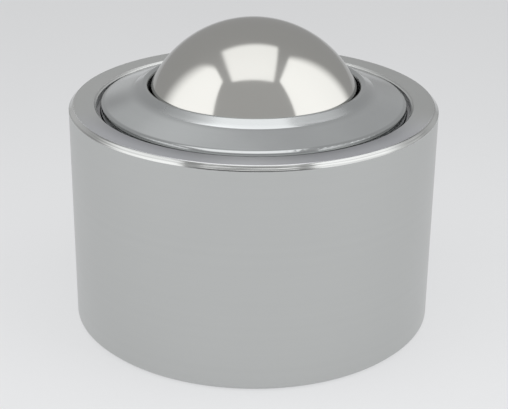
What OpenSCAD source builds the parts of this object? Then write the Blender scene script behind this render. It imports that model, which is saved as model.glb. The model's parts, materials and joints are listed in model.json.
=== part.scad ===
// Heavy-duty ball transfer unit: a large ball that rolls freely in any direction
// on a bed of small balls, held in a turned steel body. Lengths are in millimetres.
// The origin is the centre of the body's underside, and +Z is the ball's side.

/* [Load ball] */
// Diameter of the load ball
ball_d = 50.8; // [47:0.1:53]
// Height of the ball's top above the body's rim
ball_rise = 18; // [16:0.1:19]

/* [Support balls] */
// Diameter of one support ball, as a share of the load ball's
support_share = 0.125; // [0.11:0.005:0.13]
// Free space between a rolling ball and what it runs on
roll_gap = 0.05; // [0.03:0.01:0.1]
// Free height between the top row of support balls and the chamber's ceiling
chamber_gap = 0.45; // [0.2:0.05:1]

/* [Body] */
// Outside diameter of the body
body_d = 82; // [78:0.5:100]
// Height of the body up to its rim
body_h = 50.5; // [46:0.5:70]
// Chamfer round the top of the rim
rim_chamfer = 1; // [0.3:0.1:2]
// Chamfer round the mouth of the recess
recess_chamfer = 0.5; // [0.2:0.1:0.8]
// Chamfer round the foot
foot_chamfer = 0.8; // [0.3:0.1:3]

/* [Mounting thread] */
// Wall diameter of the tapped hole: the tapping drill of an M8 thread
tap_d = 6.8; // [5:0.1:12]
// Chamfer at both ends of the tapped hole
tap_chamfer = 1; // [0.3:0.1:2]

/* [Cup] */
// Wall of the pressed cup
cup_wall = 1.5; // [1:0.1:2]
// Width of the lip that the cup hangs by
cup_lip = 1.55; // [1.2:0.05:2]
// Bend radius between the cup's inside and its lip
cup_bend = 1.2; // [0.5:0.1:1.4]

/* [Cap] */
// Gap seen between the cap and the wall of the recess
cap_gap = 1; // [0.8:0.05:1.3]
// Height of the cap's lip above the body's rim
cap_rise = 4.1; // [3.5:0.1:5]
// Slope of the cap's conical top, in degrees
cone_slope = 20; // [17:0.5:22]
// Slope of the collar that rises from the cone to the lip, in degrees
collar_slope = 32; // [28:1:40]
// Radius of the hollow between the cone and the collar
collar_r = 1.5; // [0.5:0.1:3]
// Rounding of the lip round the ball
lip_r = 0.85; // [0.6:0.05:1.1]
// Free space between the ball and the lip round it
lip_gap = 0.5; // [0.4:0.05:0.8]
// Rounding of the cap's outer edge
edge_r = 1.5; // [0.5:0.1:2]
// Slope of the rounding where it ends in the bevel below it, in degrees
edge_slope = 45; // [35:1:50]
// Height of that end above the body's rim
edge_rise = 0; // [-0.2:0.05:0.4]
// Height of the bevel between the rounding and the cap's wall
bevel_h = 0.5; // [0.2:0.05:0.7]
// Slope of the bevel, in degrees
bevel_slope = 75; // [72:1:80]
// Thickness of the flange that the retaining ring holds down
flange_t = 1.7; // [1.2:0.1:2.2]

/* [Felt seal] */
// Height of the felt ring
felt_h = 3; // [2:0.1:3.2]
// Radial width of the felt ring at its lower face
felt_w = 2.6; // [1.5:0.1:3]
// Metal left between the ball chamber and the felt's groove
felt_shelf = 1.4; // [1:0.1:1.8]
// Free space between the ball and the felt
felt_gap = 0.2; // [0.1:0.05:0.5]

/* [Retaining ring] */
// Thickness of the snap ring
ring_t = 1.5; // [1:0.1:1.8]
// Depth of the ring's groove in the wall of the recess
ring_seat = 1.4; // [1:0.1:1.8]
// Depth of the ring's top below the rim
ring_depth = 1.8; // [1.4:0.1:2.2]
// Opening between the ring's two ends
ring_opening = 8; // [4:0.5:15]

/* [Fits] */
// Radial clearance of what is let into the body
fit_gap = 0.1; // [0.05:0.01:0.2]

/* [Hidden] */
$fn = 180;
ball_r = ball_d / 2;
support_r = support_share * ball_r;
body_r = body_d / 2;

// Heights
ball_z = body_h + ball_rise - ball_r;
ring_top_z = body_h - ring_depth;
ring_z = ring_top_z - ring_t;
flange_z = ring_z - flange_t;
shoulder_z = flange_z - cup_wall;

// Radii, from the load ball outwards
orbit_r = ball_r + roll_gap + support_r;
cup_r = orbit_r + support_r + roll_gap;
cup_outer_r = cup_r + cup_wall;
lip_outer_r = cup_outer_r + cup_lip;
pocket_r = cup_outer_r + fit_gap / 2;
tap_end_r = tap_d / 2 + tap_chamfer;
tap_end_z = ball_z - sqrt(pow(pocket_r, 2) - pow(tap_end_r, 2)) - tap_chamfer;
recess_r = lip_outer_r + fit_gap;
cap_r = recess_r - cap_gap;
flange_r = lip_outer_r;
ring_inner_r = cap_r + 2 * fit_gap;
ring_outer_r = recess_r + ring_seat - fit_gap;
ring_opening_angle = 90;

// The support balls lie in rings round the lowest ball, one ball's width apart, and the
// top ring is level with the load ball's centre
half_step = asin((support_r + roll_gap / 2) / orbit_r);
ring_step = asin(2 * sin(half_step));
row_count = 1 + round(90 / ring_step);
top_row_z = ball_z - orbit_r * cos((row_count - 1) * ring_step);

// Chamber and felt groove, above the top row
ceiling_z = top_row_z + support_r + chamber_gap;
felt_z = ceiling_z + felt_shelf;
felt_r = sqrt(pow(ball_r + felt_gap, 2) - pow(felt_z - ball_z, 2)) + felt_w;

// The cap's top, outwards: lip rounding, collar, hollow, cone, edge rounding, bevel. Its straight
// lines lie a hair under the roundings, so that no sliver is left where they run out
hair = 0.0002;
lip_z = body_h + cap_rise - lip_r;
lip_c = [sqrt(pow(ball_r + lip_gap + 0.8 * lip_r, 2) - pow(lip_z - ball_z, 2)), lip_z];
bevel_top = [cap_r - bevel_h / tan(bevel_slope), body_h + edge_rise];
edge_c = bevel_top - edge_r * square_to(edge_slope);
collar_up = square_to(collar_slope);
cone_up = square_to(cone_slope);
collar_c = let (a = collar_up * lip_c + lip_r + collar_r, b = cone_up * edge_c + edge_r + collar_r)
    [a * cone_up[1] - b * collar_up[1], b * collar_up[0] - a * cone_up[0]] / sin(collar_slope - cone_slope);

// Unit vector square to a line of a section that falls outwards at this slope
function square_to(slope) = [sin(slope), cos(slope)];

function row_name(k) = str("support_balls_row_", k);

// ---- Helpers: sections are drawn in the XY plane, with X as the radius ----

// A rectangle of a section, given by its radii and heights
module band(r1, r2, z1, z2) {
    translate([r1, z1]) square([r2 - r1, z2 - z1]);
}

// A circle of a section
module disc(centre, r) {
    translate(centre) circle(r);
}

// A hole of radius r that widens at 45 degrees from height z upwards
module flare(r, z) {
    translate([0, z]) polygon([[0, 0], [r, 0], [r + 2, 2], [0, 2]]);
}

// The half disc under a ball or bowl of radius r, with straight sides up to height top_z
module bowl_section(r, top_z) {
    intersection() {
        disc([0, ball_z], r);
        band(0, r, ball_z - r, ball_z);
    }
    band(0, r, ball_z, top_z);
}

// ---- Body ----

module body_section() {
    difference() {
        polygon([
            [0, 0], [body_r - foot_chamfer, 0], [body_r, foot_chamfer],
            [body_r, body_h - rim_chamfer], [body_r - rim_chamfer, body_h], [0, body_h]
        ]);
        bowl_section(pocket_r, body_h + 1);
        band(0, recess_r, shoulder_z, body_h + 1);
        band(0, recess_r + ring_seat, ring_z, ring_top_z + fit_gap);
        flare(recess_r, body_h - recess_chamfer);
        band(0, tap_d / 2, -1, ball_z);
        flare(tap_d / 2, tap_end_z);
        polygon([[0, -1], [tap_end_r + 1, -1], [tap_d / 2, tap_chamfer], [0, tap_chamfer]]);
    }
}

// Turned from one bar: recess, ring groove, shoulder, round pocket and tapped hole
module body() {
    color("silver") rotate_extrude() body_section();
}

// ---- Cup ----

// Pressed bowl: the support balls run in it, and its lip rests on the body's shoulder
module ball_cup() {
    color("lightslategray") rotate_extrude() difference() {
        union() {
            bowl_section(cup_outer_r, flange_z);
            band(0, lip_outer_r, shoulder_z, flange_z);
        }
        bowl_section(cup_r, flange_z + 1);
        difference() {
            band(0, cup_r + cup_bend, flange_z - cup_bend, flange_z + 1);
            disc([cup_r + cup_bend, flange_z - cup_bend], cup_bend);
        }
    }
}

// ---- Cap ----

module cap_section() {
    difference() {
        union() {
            disc(lip_c, lip_r);
            disc(edge_c, edge_r);
            polygon([
                [lip_c[0] - lip_r, lip_c[1]], [ball_r, felt_z], [ball_r, ceiling_z],
                [cup_r, ceiling_z], [cup_r, flange_z], [flange_r, flange_z], [flange_r, edge_c[1]],
                edge_c, edge_c + (edge_r - hair) * cone_up,
                collar_c - (collar_r + hair) * cone_up, collar_c - (collar_r + hair) * collar_up,
                lip_c + (lip_r - hair) * collar_up, lip_c
            ]);
        }
        disc(collar_c, collar_r + 2 * hair);
        disc([0, ball_z], ball_r + lip_gap);
        band(0, felt_r, felt_z, felt_z + felt_h);
        polygon([
            [cap_r, ring_z], [flange_r + 1, ring_z], [flange_r + 1, body_h + edge_r],
            [bevel_top[0], body_h + edge_r], bevel_top, [cap_r, bevel_top[1] - bevel_h]
        ]);
    }
}

// Turned ring: keeps the balls in, and guides the load ball
module cap() {
    color("gainsboro") rotate_extrude() cap_section();
}

// ---- Felt seal ----

// Wiper ring that keeps dirt out of the balls
module felt_seal() {
    color("dimgray") rotate_extrude() difference() {
        band(0, felt_r - fit_gap / 2, felt_z, felt_z + felt_h);
        disc([0, ball_z], ball_r + felt_gap);
    }
}

// ---- Retaining ring ----

// Flat snap ring with a gap, sprung into the body's groove over the cap's flange
module retaining_ring() {
    color("darkslategray") difference() {
        rotate_extrude() band(ring_inner_r, ring_outer_r, ring_z, ring_top_z);
        rotate([0, 0, ring_opening_angle])
            translate([0, -ring_opening / 2, ring_z - 1])
                cube([ring_outer_r + 1, ring_opening, ring_t + 2]);
    }
}

// ---- Balls ----

module load_ball() {
    color("whitesmoke") translate([0, 0, ball_z]) sphere(ball_r);
}

// Balls that fit side by side in a ring at this angle from the lowest ball
function balls_in_row(angle) = angle == 0 ? 1 : floor(180 / asin(sin(half_step) / sin(angle)));

// One ring of support balls, counted from the lowest ball upwards
module support_balls_row(k) {
    angle = (k - 1) * ring_step;
    count = balls_in_row(angle);
    color("lightsteelblue") translate([0, 0, ball_z])
        for (i = [0:count - 1])
            rotate([0, 0, (i + k % 2 / 2) * 360 / count])
                translate([orbit_r * sin(angle), 0, -orbit_r * cos(angle)])
                    sphere(support_r, $fn = 60);
}

body();
ball_cup();
cap();
felt_seal();
retaining_ring();
load_ball();
for (k = [1:row_count])
    support_balls_row(k);
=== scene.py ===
"""Looks of the ball transfer unit: materials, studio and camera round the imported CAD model.

Lengths are in metres in the CAD frame: the origin is the centre of the body's underside,
+Z is the ball's side, and the camera looks from -Y. A ramp goes from one level to another
between the pair of values that is its span. Scales of noise and of lines are per metre.

In the names below, DARKER and PALER change a colour, and ROUGHER and SMOOTHER a roughness.
"""

import json
import math

import bpy
from mathutils import Matrix, Vector

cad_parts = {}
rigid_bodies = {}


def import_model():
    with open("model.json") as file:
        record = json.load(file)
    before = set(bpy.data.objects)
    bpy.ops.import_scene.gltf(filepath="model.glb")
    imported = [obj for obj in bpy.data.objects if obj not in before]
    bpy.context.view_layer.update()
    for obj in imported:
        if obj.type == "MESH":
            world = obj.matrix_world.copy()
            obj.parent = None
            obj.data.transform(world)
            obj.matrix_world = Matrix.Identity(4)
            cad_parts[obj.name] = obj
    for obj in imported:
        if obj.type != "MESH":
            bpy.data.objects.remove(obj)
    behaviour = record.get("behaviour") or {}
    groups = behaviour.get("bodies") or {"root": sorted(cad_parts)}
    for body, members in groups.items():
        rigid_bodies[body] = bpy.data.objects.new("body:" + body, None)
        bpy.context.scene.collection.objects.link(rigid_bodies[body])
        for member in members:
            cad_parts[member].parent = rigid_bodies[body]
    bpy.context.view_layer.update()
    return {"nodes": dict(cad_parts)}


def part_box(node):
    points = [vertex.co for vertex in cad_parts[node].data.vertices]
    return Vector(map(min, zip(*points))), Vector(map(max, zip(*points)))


MM = 0.001

# ---- Camera, with its lens and sensor in millimetres ----
CAMERA_PLACE = Vector((0.0, -0.2786, 0.1455))
CAMERA_PITCH = math.radians(23.42)
CAMERA_YAW = math.radians(0.06)
CAMERA_ROLL = math.radians(0.62)
CAMERA_LENS = 93.23
CAMERA_SENSOR = 36.0
CAMERA_NEAR = 0.01
CAMERA_FAR = 20.0

# ---- Studio: a pale tent, with a softbox above the ball and one on each side of it ----
TOP_HEIGHT = 0.8
TOP_GLOW = 0.97
SIDE_DISTANCE = 0.7
SIDE_GLOW = 1.06
WATTS_PER_GLOW = math.pi  # for each square metre of a softbox
TENT_FRONT = 0.56
TENT_BACK = 0.47
TENT_SPAN = (-0.3, 0.6)

# ---- Floor: just under the body, with painted light towards the front that thins the body's shade, and with more glow towards the front ----
FLOOR_SIZE = 8.0
FLOOR_Z = -0.02 * MM
FLOOR_COLOUR = (0.76, 0.765, 0.775)
FLOOR_PAINTED_LIGHT = 1.18
FLOOR_PAINTED_LIGHT_SPAN = (0.14, -0.04)
FLOOR_GLOW_COLOUR = (0.992, 1, 1.012, 1)
FLOOR_GLOW_BACK = 0.645
FLOOR_GLOW_FRONT = 0.86
FLOOR_GLOW_SPAN = (0.32, -0.24)
FLOOR_GLOW_SHARE = 0.7

# ---- Spans of a ramp over noise ----
MIDDLE_NOISE = (0.3, 0.7)
WIDE_NOISE = (0.2, 0.8)

# ---- Colours ----
BODY_COLOUR = (0.558, 0.567, 0.56)
CAP_COLOUR = (0.62, 0.64, 0.645)
CUP_COLOUR = (0.36, 0.36, 0.37)
BALL_COLOUR = (0.562, 0.558, 0.533)
BALL_EDGE = (0.85, 0.85, 0.85, 1)
SUPPORT_COLOUR = (0.6, 0.6, 0.6)
RING_COLOUR = (0.38, 0.38, 0.39)
FELT_COLOUR = (0.12, 0.12, 0.125)

# ---- Turned steel: fine and coarse lines that follow the radius and a share of the height ----
FINE_LINES = 5200
COARSE_LINES = 900
COARSE_SHARE = 0.5
HEIGHT_SHARE = 0.8
ROUGHNESS_SPREAD = 0.06

# ---- Body: the rim, with painted light most on the left, and in front painted shade towards the recess and bluer ----
RIM_MARGIN = 0.05 * MM
RIM_ROUGHER = 0.1
RIM_PAINTED_LIGHT_LEFT = 0.1
RIM_PAINTED_LIGHT_RIGHT = 0.01
RIM_RIGHTWARD = (-5 * MM, 36 * MM)
RIM_PAINTED_SHADE = 0.28
RIM_WIDTH = (35.3 * MM, 39.2 * MM)
RIM_BLUER = 0.06
RIM_FRONT = (-26 * MM, -6 * MM)

# ---- Body: the chamfer outside the rim, with a rounded edge, tool marks with painted shade in their valleys and a painted shadow line at its foot ----
CHAMFER = 1 * MM
CHAMFER_MARGIN = 0.06 * MM
CHAMFER_SMOOTHER = 0.25
EDGE_WIDTH = 0.35 * MM
EDGE_DROP = 1.5
MARKS_ACROSS = 2200
MARKS_ROUND = 45
MARKS_DEPTH = 0.03 * MM
VALLEY_PAINTED_SHADE = 0.25
VALLEY_NOISE = (0.35, 0.55)
FOOT_SHADOW_WIDTH = 0.3 * MM
FOOT_SHADOW_DARKER = 0.55
FOOT_SHADOW_FRONT = (-39.9 * MM, -38.2 * MM)

# ---- Body: the groove round the cap, inside a radius and above a height, with painted light that thins its shade, and the tapped hole ----
GROOVE_RADIUS = 35.2 * MM
GROOVE_HEIGHT = 40 * MM
GROOVE_PAINTED_LIGHT = 0.3
THREAD_PITCH = 1.25 * MM
THREAD_DEPTH = 0.6 * MM
THREAD_REACH = 3.6 * MM

# ---- Cap: painted shade inside and outside its cone, with painted shade on the bevel over painted light on the wall ----
CAP_PAINTED_SHADE = 0.17
COLLAR_FOOT = 26.6 * MM
CONE_START = (COLLAR_FOOT - 1 * MM, COLLAR_FOOT + 1.5 * MM)
CONE_END = (32.9 * MM, 33.4 * MM)
CONE_MOTTLE = 0.03
BEVEL_RADIUS = 33.75 * MM
BEVEL_PAINTED_SHADE = 0.18
BEVEL_FOOT = (49.85 * MM, 49.95 * MM)

# ---- Cap: the collar is rougher at both ends of its bright front, by the angle from the front ----
COLLAR_ROUGHER = 0.2
COLLAR_EDGE = (COLLAR_FOOT - 0.5 * MM, COLLAR_FOOT + 0.5 * MM)
COLLAR_ENDS_START = (math.radians(10), math.radians(24))
COLLAR_ENDS_STOP = (math.radians(40), math.radians(60))

# ---- Balls and snap ring ----
HAZE_ROUGHER = 1.5
RING_ROUGHNESS = (0.3, 0.5)

# ---- Patches of painted highlight and painted shade: place and reach in mm, and how much paler the middle is ----
CAP_LIGHT_AND_SHADE_PATCHES = [
    ((-16, -26, 52), 20, 0.45),
    ((14, -27, 52), 14, 0.08),
    ((-28, -14, 52), 8, 0.12),
    ((-31, -5, 52), 9, -0.2),
    ((-30, 6, 52), 14, 0.32),
    ((27, 15, 52), 20, -0.38),
]
RIM_HIGHLIGHT_PATCHES = [((35, -17, 50), 12, 0.12)]
CHAMFER_LIGHT_AND_SHADE_PATCHES = [
    ((31.5, -25.5, 50), 8, -0.5),
    ((38.5, -13, 50), 11, 0.35),
    ((-38.5, -12.5, 50), 17, 0.45),
]


# ---- Node helpers ----


class Nodes:
    """The nodes of a material, a lamp or the world, made and linked in a line each."""

    def __init__(self, tree):
        self.tree = tree

    def node(self, kind, inputs=None, **settings):
        """Adds a node. An input is a value, or the output socket that feeds it."""
        made = self.tree.nodes.new(kind)
        for key, value in settings.items():
            setattr(made, key, value)
        for key, value in (inputs or {}).items():
            self.set(made.inputs[key], value)
        return made

    def set(self, socket, value):
        if isinstance(value, bpy.types.NodeSocket):
            self.tree.links.new(value, socket)
        else:
            socket.default_value = value

    def math(self, operation, a, b=0.0, c=0.0, clamp=False):
        made = self.node("ShaderNodeMath", {0: a, 1: b, 2: c}, operation=operation, use_clamp=clamp)
        return made.outputs[0]

    def product(self, first, *others):
        for other in others:
            first = self.math("MULTIPLY", first, other)
        return first

    def above(self, value, limit):
        """1 where the value is above the limit, and 0 elsewhere."""
        return self.math("GREATER_THAN", value, limit)

    def below(self, value, limit):
        return self.math("LESS_THAN", value, limit)

    def ramp(self, value, span, start, end):
        """Goes smoothly from start to end as the value crosses the span, and not past either."""
        made = self.node(
            "ShaderNodeMapRange",
            {"Value": value, "From Min": span[0], "From Max": span[1], "To Min": start, "To Max": end},
            interpolation_type="SMOOTHSTEP",
        )
        return made.outputs["Result"]

    def vector_math(self, operation, a, b):
        return self.node("ShaderNodeVectorMath", {0: a, 1: b}, operation=operation).outputs


class Finish(Nodes):
    """A material with one surface shader. It follows the place in the CAD frame, and the unit's axis."""

    def __init__(self, name):
        self.material = bpy.data.materials.new(name)
        self.material.use_nodes = True
        super().__init__(self.material.node_tree)
        self.surface = self.tree.nodes["Principled BSDF"]
        self.point = self.node("ShaderNodeTexCoord").outputs["Object"]
        self.x, self.y, self.z = self.node("ShaderNodeSeparateXYZ", {0: self.point}).outputs
        squares = self.math("ADD", self.product(self.x, self.x), self.product(self.y, self.y))
        self.radius = self.math("SQRT", squares)

    def feed(self, name, value):
        """Sets an input of the surface shader."""
        self.set(self.surface.inputs[name], value)

    def fed(self, name):
        """The output that feeds an input of the surface shader."""
        return self.surface.inputs[name].links[0].from_socket

    def noise(self, vector=None, w=None, scale=1.0, detail=2.0, roughness=0.5):
        """Noise from 0 to 1: along one number when w is given, and otherwise in space."""
        inputs = {"Scale": scale, "Detail": detail, "Roughness": roughness}
        if w is None:
            inputs["Vector"] = vector
        else:
            inputs["W"] = w
        made = self.node("ShaderNodeTexNoise", inputs, noise_dimensions="3D" if w is None else "1D")
        return made.outputs["Fac"]

    def tint(self, colour, factor, amount):
        """A colour that gets lighter by the amount as the factor goes to 1, and darker as it goes to 0."""
        dark = [channel * (1 - amount) for channel in colour] + [1]
        light = [channel * (1 + amount) for channel in colour] + [1]
        made = self.node("ShaderNodeMix", {0: factor, 6: dark, 7: light}, data_type="RGBA")
        return made.outputs[2]

    def scaled(self, colour, factor):
        return self.node("ShaderNodeVectorMath", {0: colour, 3: factor}, operation="SCALE").outputs[0]

    def shade(self, changes, start=1.0):
        """How light the colour is: the start, and each (place, change) where its place is 1."""
        total = start
        for place, change in changes:
            total = self.math("MULTIPLY_ADD", place, change, total)
        return total

    def patches(self, patches):
        """The sum of round patches (place, reach, change), each full at its place and gone at its reach."""
        total = 0.0
        for place, reach, change in patches:
            away = self.vector_math("DISTANCE", self.point, Vector(place) * MM)["Value"]
            total = self.math("ADD", total, self.ramp(away, (0, reach * MM), change, 0))
        return total

    def bump(self, height, distance):
        """Raises the surface by the height times the distance, on top of the bumps that it has."""
        inputs = {"Height": height, "Distance": distance}
        if self.surface.inputs["Normal"].is_linked:
            inputs["Normal"] = self.fed("Normal")
        self.feed("Normal", self.node("ShaderNodeBump", inputs).outputs[0])


# ---- Materials ----


def turned_steel(name, colour, roughness, line_depth, anisotropy):
    """Steel off the lathe: fine lines run round the axis on every face."""
    finish = Finish(name)
    along = finish.math("SUBTRACT", finish.radius, finish.product(finish.z, HEIGHT_SHARE))
    fine = finish.noise(w=along, scale=FINE_LINES, detail=3, roughness=0.7)
    coarse = finish.noise(w=along, scale=COARSE_LINES, detail=2)
    cloud = finish.noise(vector=finish.point, scale=90, detail=3)

    finish.feed("Metallic", 1.0)
    finish.feed("Anisotropic", anisotropy)
    finish.feed("Base Color", finish.tint(colour, coarse, amount=0.012))
    spread = finish.math(
        "ADD", finish.product(fine, ROUGHNESS_SPREAD), finish.product(cloud, ROUGHNESS_SPREAD)
    )
    finish.feed("Roughness", finish.math("ADD", spread, roughness - ROUGHNESS_SPREAD))
    finish.feed("Tangent", finish.node("ShaderNodeTangent", direction_type="RADIAL", axis="Z").outputs[0])
    finish.bump(finish.math("ADD", fine, finish.product(coarse, COARSE_SHARE)), line_depth)
    return finish


def body_steel():
    """Turned steel with tool marks on its outer chamfer, and with a thread in its tapped hole."""
    finish = turned_steel(
        "body_steel", BODY_COLOUR, roughness=0.34, line_depth=0.0006 * MM, anisotropy=0.05
    )
    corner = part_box("body")[1]
    body_radius, rim_z = corner.x, corner.z
    on_rim = finish.above(finish.z, rim_z - RIM_MARGIN)
    # Radius plus height is the same all over the chamfer, and radius less height grows down it.
    across = finish.math("ADD", finish.radius, finish.z)
    down = finish.math("SUBTRACT", finish.radius, finish.z)
    chamfer_top = body_radius - CHAMFER - rim_z
    chamfer_foot = body_radius + CHAMFER - rim_z
    on_chamfer = finish.above(across, body_radius + rim_z - CHAMFER - CHAMFER_MARGIN)
    # The strip at the foot of the chamfer that gets a painted shadow line.
    in_foot_shadow = finish.product(finish.above(down, chamfer_foot - FOOT_SHADOW_WIDTH), on_chamfer)
    marks = tool_marks(finish, down)
    tone_body(finish, on_rim, on_chamfer, in_foot_shadow, marks)

    rim_smoother = finish.product(on_rim, -RIM_ROUGHER)
    smoother = finish.math("MULTIPLY_ADD", on_chamfer, CHAMFER_SMOOTHER, rim_smoother)
    finish.feed("Roughness", finish.math("SUBTRACT", finish.fed("Roughness"), smoother))
    edge = finish.math("MULTIPLY_ADD", down, -1 / EDGE_WIDTH, 1 + chamfer_top / EDGE_WIDTH, clamp=True)
    height = finish.math("SUBTRACT", marks, finish.product(edge, edge, EDGE_DROP))
    finish.bump(finish.product(height, on_chamfer), MARKS_DEPTH)
    finish.bump(thread(finish), THREAD_DEPTH)
    return finish.material


def tool_marks(finish, down):
    """Noise that is fine down the chamfer and long round it."""
    stretched = finish.node(
        "ShaderNodeCombineXYZ",
        {
            0: finish.product(down, MARKS_ACROSS),
            1: finish.product(finish.x, MARKS_ROUND),
            2: finish.product(finish.y, MARKS_ROUND),
        },
    )
    return finish.noise(vector=stretched.outputs[0], detail=2)


def tone_body(finish, on_rim, on_chamfer, in_foot_shadow, marks):
    """Makes the rim's painted light and shade and its bluer front, the painted shade in the chamfer's tool
    marks, the painted shadow line at its foot, and the painted light in the groove.
    """
    # Painted shade on the rim in front, deepest by the recess, and painted light on the rim, most on the
    # left.
    in_front = finish.ramp(finish.y, RIM_FRONT, 1, 0)
    darker = finish.product(finish.ramp(finish.radius, RIM_WIDTH, RIM_PAINTED_SHADE, 0), in_front)
    paler = finish.ramp(finish.x, RIM_RIGHTWARD, RIM_PAINTED_LIGHT_LEFT, RIM_PAINTED_LIGHT_RIGHT)
    # Painted shade in the valleys of the chamfer's tool marks.
    valley = finish.product(finish.ramp(marks, VALLEY_NOISE, 1, 0), on_chamfer)
    # A painted shadow line at the foot of the chamfer, in front.
    line = finish.product(in_foot_shadow, finish.ramp(finish.y, FOOT_SHADOW_FRONT, 1, 0))
    # Painted light on the walls of the groove round the cap, against its shade.
    in_recess = finish.below(finish.radius, GROOVE_RADIUS)
    in_groove = finish.product(in_recess, finish.above(finish.z, GROOVE_HEIGHT))
    shade = finish.shade(
        [
            (on_rim, finish.math("SUBTRACT", paler, darker)),
            (valley, -VALLEY_PAINTED_SHADE),
            (line, -FOOT_SHADOW_DARKER),
            # Patches of painted highlight on the rim, and of painted highlight and painted shade on the
            # chamfer.
            (on_rim, finish.patches(RIM_HIGHLIGHT_PATCHES)),
            (on_chamfer, finish.patches(CHAMFER_LIGHT_AND_SHADE_PATCHES)),
            (in_groove, GROOVE_PAINTED_LIGHT),
        ]
    )
    blue = finish.math("MULTIPLY_ADD", shade, finish.product(on_rim, in_front, RIM_BLUER), shade)
    tone = finish.node("ShaderNodeCombineXYZ", {0: shade, 1: shade, 2: blue}).outputs[0]
    finish.feed("Base Color", finish.vector_math("MULTIPLY", finish.fed("Base Color"), tone)[0])


def thread(finish):
    """The height of the tapped hole's thread: from 0 to 1 and back once a pitch."""
    turn = finish.math("DIVIDE", finish.math("ARCTAN2", finish.y, finish.x), 2 * math.pi)
    phase = finish.math("SUBTRACT", finish.math("DIVIDE", finish.z, THREAD_PITCH), turn)
    flank = finish.product(finish.math("PINGPONG", phase, 0.5), 2)
    return finish.product(flank, finish.below(finish.radius, THREAD_REACH))


def cap_steel():
    """Turned steel with painted shade on the collar and the edge, and patches of painted highlight and
    painted shade on its cone.
    """
    finish = turned_steel("cap_steel", CAP_COLOUR, roughness=0.13, line_depth=0.0003 * MM, anisotropy=0.1)
    cloud = finish.noise(vector=finish.point, scale=60, detail=3)
    mottle = finish.ramp(cloud, MIDDLE_NOISE, -CONE_MOTTLE, CONE_MOTTLE)
    # Random mottle, plus patches of painted highlight and painted shade.
    mottle_and_painted_light = finish.math("ADD", mottle, finish.patches(CAP_LIGHT_AND_SHADE_PATCHES))
    on_cone = finish.product(
        finish.ramp(finish.radius, CONE_START, 0, 1), finish.ramp(finish.radius, CONE_END, 1, 0)
    )
    # Painted shade on the collar, the edge and the bevel, and painted light on the wall under the bevel.
    shade = finish.shade(
        [
            (on_cone, finish.math("ADD", mottle_and_painted_light, CAP_PAINTED_SHADE)),
            (
                finish.above(finish.radius, BEVEL_RADIUS),
                finish.ramp(finish.z, BEVEL_FOOT, GROOVE_PAINTED_LIGHT, -BEVEL_PAINTED_SHADE),
            ),
        ],
        start=1 - CAP_PAINTED_SHADE,
    )
    finish.feed("Base Color", finish.scaled(finish.fed("Base Color"), shade))

    from_front = finish.math("ABSOLUTE", finish.math("ARCTAN2", finish.x, finish.product(finish.y, -1)))
    rougher = finish.product(
        finish.ramp(from_front, COLLAR_ENDS_START, 0, COLLAR_ROUGHER),
        finish.ramp(from_front, COLLAR_ENDS_STOP, 1, 0),
        finish.ramp(finish.radius, COLLAR_EDGE, 1, 0),
    )
    finish.feed("Roughness", finish.math("ADD", finish.fed("Roughness"), rougher))
    return finish.material


def cup_steel():
    """The turned steel of the cup, darker from its hardening."""
    finish = turned_steel("cup_steel", CUP_COLOUR, roughness=0.3, line_depth=0.0004 * MM, anisotropy=0.3)
    return finish.material


def polished_steel(name, colour, roughness, edge=(1, 1, 1, 1)):
    """Lapped ball steel: a mirror with a faint haze, tinted by the edge colour at its outline."""
    finish = Finish(name)
    haze = finish.noise(vector=finish.point, scale=140, detail=4)
    finish.feed("Metallic", 1.0)
    finish.feed("Specular Tint", edge)
    finish.feed("Base Color", finish.tint(colour, haze, amount=0.015))
    finish.feed("Roughness", finish.ramp(haze, MIDDLE_NOISE, roughness, roughness * HAZE_ROUGHER))
    return finish.material


def spring_steel():
    """Blackened spring steel, rubbed so that the bare metal shows in patches."""
    finish = Finish("spring_steel")
    cloud = finish.noise(vector=finish.point, scale=400, detail=5, roughness=0.7)
    finish.feed("Metallic", 1.0)
    finish.feed("Base Color", finish.tint(RING_COLOUR, cloud, amount=0.6))
    finish.feed("Roughness", finish.ramp(cloud, WIDE_NOISE, *RING_ROUGHNESS))
    return finish.material


def seal_felt():
    """Dark grey pressed wool, soaked in oil."""
    finish = Finish("seal_felt")
    fibre = finish.noise(vector=finish.point, scale=2600, detail=6, roughness=0.75)
    finish.feed("Base Color", finish.tint(FELT_COLOUR, fibre, amount=0.4))
    finish.feed("Roughness", 0.9)
    finish.feed("Sheen Weight", 0.3)
    finish.bump(fibre, 0.2 * MM)
    return finish.material


def dress(nodes):
    """Gives every CAD node its own finish in place of the plain imported one."""
    finishes = {
        "body": body_steel(),
        "cap": cap_steel(),
        "ball_cup": cup_steel(),
        "felt_seal": seal_felt(),
        "retaining_ring": spring_steel(),
        "load_ball": polished_steel("ball_chrome", BALL_COLOUR, roughness=0.08, edge=BALL_EDGE),
        "support_balls": polished_steel("bearing_steel", SUPPORT_COLOUR, roughness=0.06),
    }
    for name, node in nodes.items():
        finish = finishes["support_balls" if name.startswith("support_balls") else name]
        for slot in node.material_slots:
            slot.material = finish


# ---- Studio ----


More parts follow.
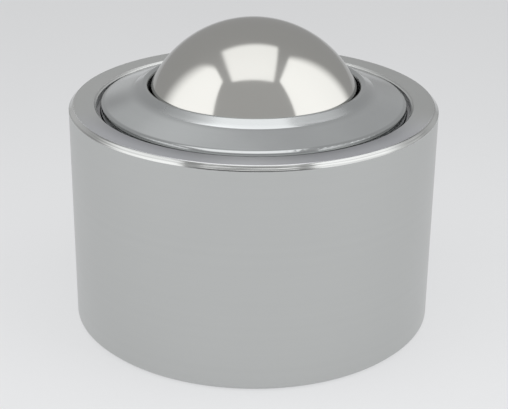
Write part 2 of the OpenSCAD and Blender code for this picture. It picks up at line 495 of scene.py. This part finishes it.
def floor_paper():
    """Pale paper with painted light towards the front, that glows a little for the camera and in
    reflections, and is clear from below.
    """
    paper = Finish("floor_paper")
    grain = paper.noise(vector=paper.point, scale=60, detail=3)
    # Painted light: the paper gets paler towards the front, thinning the body's shade around it.
    floor_painted_light = paper.ramp(paper.y, FLOOR_PAINTED_LIGHT_SPAN, 1, FLOOR_PAINTED_LIGHT)
    paper.feed("Base Color", paper.scaled(paper.tint(FLOOR_COLOUR, grain, amount=0.004), floor_painted_light))
    paper.feed("Roughness", 0.9)
    paper.feed("Specular IOR Level", 0.0)

    strength = paper.ramp(paper.y, FLOOR_GLOW_SPAN, FLOOR_GLOW_BACK, FLOOR_GLOW_FRONT)
    glow = paper.node("ShaderNodeEmission", {"Color": FLOOR_GLOW_COLOUR, "Strength": strength})
    path = paper.node("ShaderNodeLightPath").outputs
    seen = paper.math("MAXIMUM", path["Is Camera Ray"], path["Is Glossy Ray"])
    share = paper.product(seen, FLOOR_GLOW_SHARE)
    lit = paper.node("ShaderNodeMixShader", {0: share, 1: paper.surface.outputs[0], 2: glow.outputs[0]})
    from_below = paper.node("ShaderNodeNewGeometry").outputs["Backfacing"]
    clear = paper.node("ShaderNodeBsdfTransparent")
    sheet = paper.node("ShaderNodeMixShader", {0: from_below, 1: lit.outputs[0], 2: clear.outputs[0]})
    paper.set(paper.tree.nodes["Material Output"].inputs["Surface"], sheet.outputs[0])
    return paper.material


def make_floor():
    half = FLOOR_SIZE / 2
    corners = [(a * half, b * half, FLOOR_Z) for a, b in ((-1, -1), (1, -1), (1, 1), (-1, 1))]
    mesh = bpy.data.meshes.new("floor")
    mesh.from_pydata(corners, [], [(0, 1, 2, 3)])
    mesh.materials.append(floor_paper())
    floor = bpy.data.objects.new("floor", mesh)
    bpy.context.scene.collection.objects.link(floor)


def softbox(name, centre, out, across, distance, glow, corners):
    """A flat panel that faces the centre from this distance, with straight sides that fade out.

    Each corner is (a, b, softness) as shares of the distance, counter-clockwise: a runs across,
    b runs along out x across, and the softness is that of the side to the next corner.
    """
    out, across = Vector(out), Vector(across)
    along = out.cross(across)
    foot = centre + out * distance
    a_all, b_all, softness_all = zip(*corners)

    data = bpy.data.lights.new(name, "AREA")
    data.shape = "RECTANGLE"
    data.size = (max(a_all) - min(a_all) + max(softness_all)) * distance
    data.size_y = (max(b_all) - min(b_all) + max(softness_all)) * distance
    data.energy = glow * WATTS_PER_GLOW * data.size * data.size_y
    lamp = bpy.data.objects.new(name, data)
    turn = Matrix((across, along, out)).transposed().to_4x4()
    middle = across * (min(a_all) + max(a_all)) + along * (min(b_all) + max(b_all))
    lamp.matrix_world = Matrix.Translation(foot + middle * distance / 2) @ turn
    lamp.visible_camera = False
    bpy.context.scene.collection.objects.link(lamp)

    ends = [foot + (across * a + along * b) * distance for a, b, _ in corners]
    fade_sides(data, out, ends, [softness * distance for softness in softness_all])


def fade_sides(data, out, ends, widths):
    """Darkens a lamp smoothly across each side of the outline that the ends give."""
    data.use_nodes = True
    nodes = Nodes(data.node_tree)
    point = nodes.node("ShaderNodeNewGeometry").outputs["Position"]
    level = 1.0
    for start, end, width in zip(ends, ends[1:] + ends[:1], widths):
        inward = out.cross(end - start).normalized()
        depth = nodes.vector_math("DOT_PRODUCT", point, inward)["Value"]
        side = inward.dot(start)
        fade = nodes.ramp(depth, (side - width / 2, side + width / 2), 0, 1)
        level = nodes.math("MULTIPLY", level, fade)
    nodes.set(nodes.tree.nodes["Emission"].inputs["Strength"], level)


def make_softboxes(ball_centre):
    softbox(
        "softbox_top", ball_centre, (0, 0, 1), (1, 0, 0), TOP_HEIGHT, TOP_GLOW,
        [(-0.37, -0.37, 0.05), (0.33, -0.37, 0.05), (0.31, 0.45, 0.14), (-0.45, 0.4, 0.08)],
    )
    softbox(
        "softbox_left", ball_centre, (-1, 0, 0), (0, -1, 0), SIDE_DISTANCE, SIDE_GLOW,
        [
            (-0.3, 0.1, 0.1), (0.97, 0.1, 0.1), (0.97, 0.72, 0.08),
            (0.55, 1.84, 0.12), (-0.1, 1.67, 0.3), (-0.36, 1.3, 0.45),
        ],
    )
    softbox(
        "softbox_right", ball_centre, (1, 0, 0), (0, 1, 0), SIDE_DISTANCE, SIDE_GLOW,
        [(-0.97, 0.1, 0.1), (0.6, 0.1, 0.4), (0.58, 2.02, 0.2), (-0.73, 2.3, 0.08)],
    )


def make_world():
    """A pale grey tent all round, a little lighter on the camera's side."""
    world = bpy.data.worlds.new("tent")
    bpy.context.scene.world = world
    world.use_nodes = True
    nodes = Nodes(world.node_tree)
    direction = nodes.node("ShaderNodeTexCoord").outputs["Generated"]
    backward = nodes.node("ShaderNodeSeparateXYZ", {0: direction}).outputs[1]
    grey = nodes.ramp(backward, TENT_SPAN, TENT_FRONT, TENT_BACK)
    nodes.set(nodes.tree.nodes["Background"].inputs["Color"], grey)


def make_camera():
    data = bpy.data.cameras.new("camera")
    data.sensor_width = CAMERA_SENSOR
    data.lens = CAMERA_LENS
    data.clip_start = CAMERA_NEAR
    data.clip_end = CAMERA_FAR
    camera = bpy.data.objects.new("camera", data)
    turn = (
        Matrix.Rotation(-CAMERA_YAW, 4, "Z")
        @ Matrix.Rotation(math.pi / 2 - CAMERA_PITCH, 4, "X")
        @ Matrix.Rotation(CAMERA_ROLL, 4, "Z")
    )
    camera.matrix_world = Matrix.Translation(CAMERA_PLACE) @ turn
    bpy.context.scene.collection.objects.link(camera)
    bpy.context.scene.camera = camera


def main():
    for default in list(bpy.data.objects):
        bpy.data.objects.remove(default)
    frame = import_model()

    dress(frame["nodes"])
    low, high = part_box("load_ball")
    make_camera()
    make_floor()
    make_softboxes((low + high) / 2)
    make_world()
    bpy.context.scene.view_settings.view_transform = "Standard"


main()
